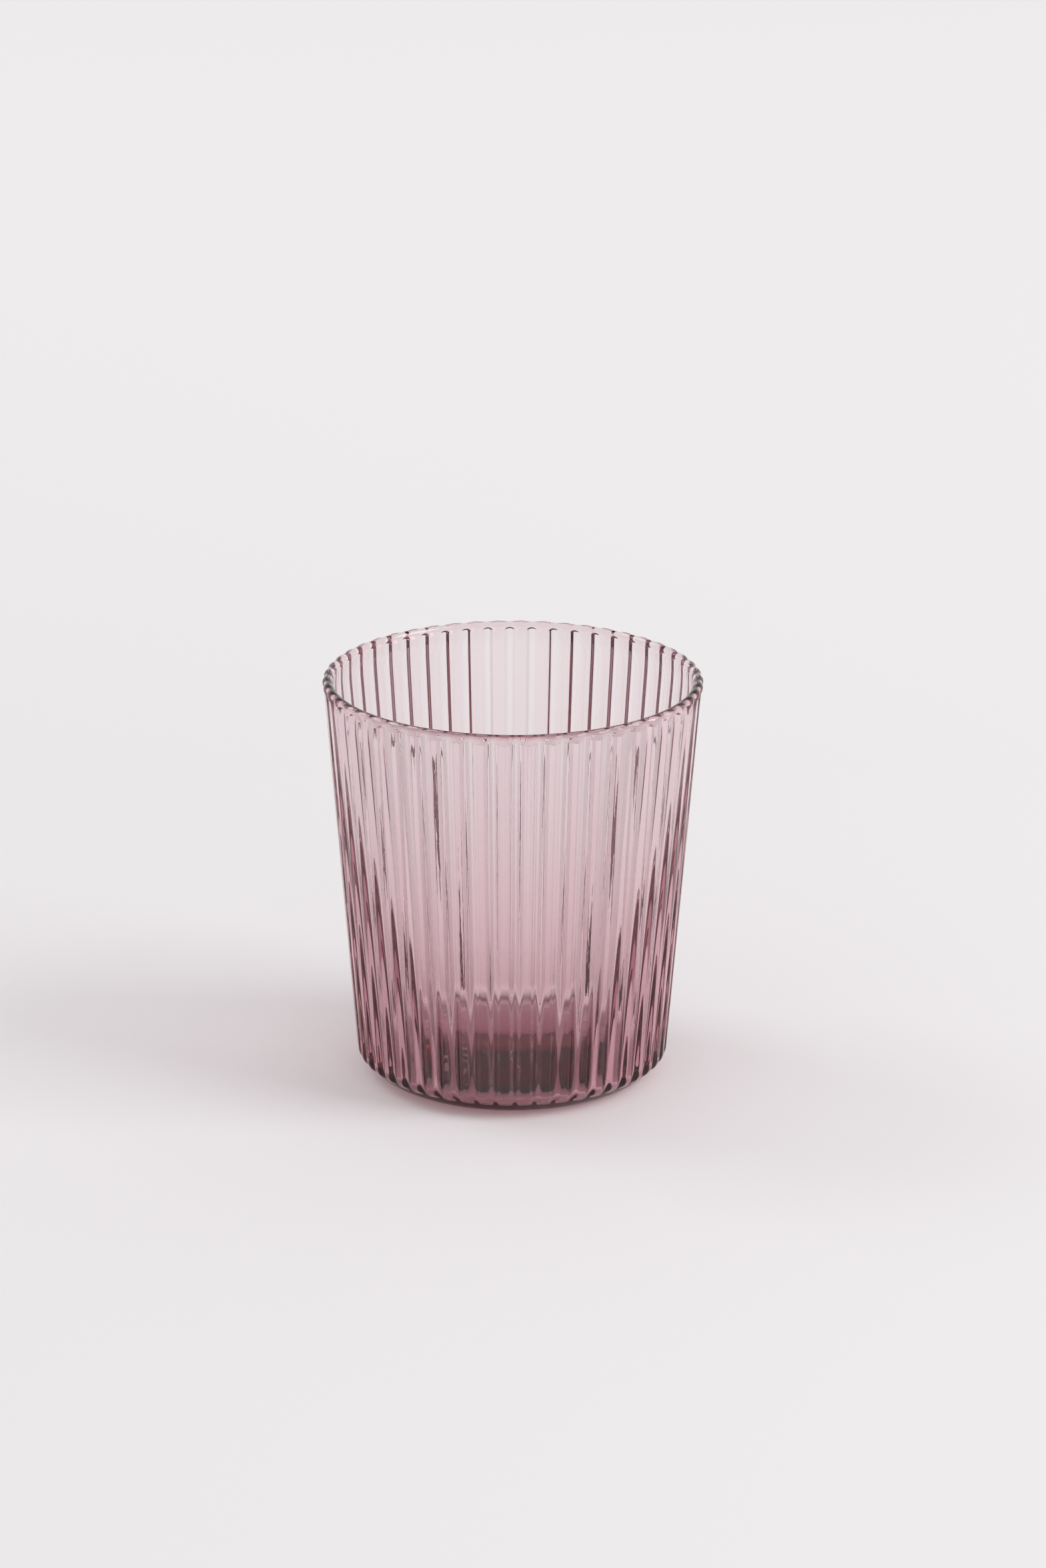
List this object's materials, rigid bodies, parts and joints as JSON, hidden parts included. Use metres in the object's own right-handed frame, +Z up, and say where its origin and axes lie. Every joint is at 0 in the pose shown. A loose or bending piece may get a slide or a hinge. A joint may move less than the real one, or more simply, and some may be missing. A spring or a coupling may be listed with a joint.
{
  "type": "water glass",
  "caption": "Tapered drinking glass of mauve tinted glass with vertical ribs on the outside, a rounded scalloped rim, a smooth cavity with a domed floor, and a thick base with a rounded heel.",
  "frame": {"origin": "centre of the flat base, on the surface that the glass stands on", "axes": "+Z up along the axis of the glass, out of its mouth; -Y is the side towards the camera"},
  "size_m": [0.08, 0.08, 0.087],
  "materials": {
    "tinted_glass": "clear, fire-polished, tinted mauve"
  },
  "bodies": {
    "root": {"tumbler": "tinted_glass"}
  },
  "joints": []
}
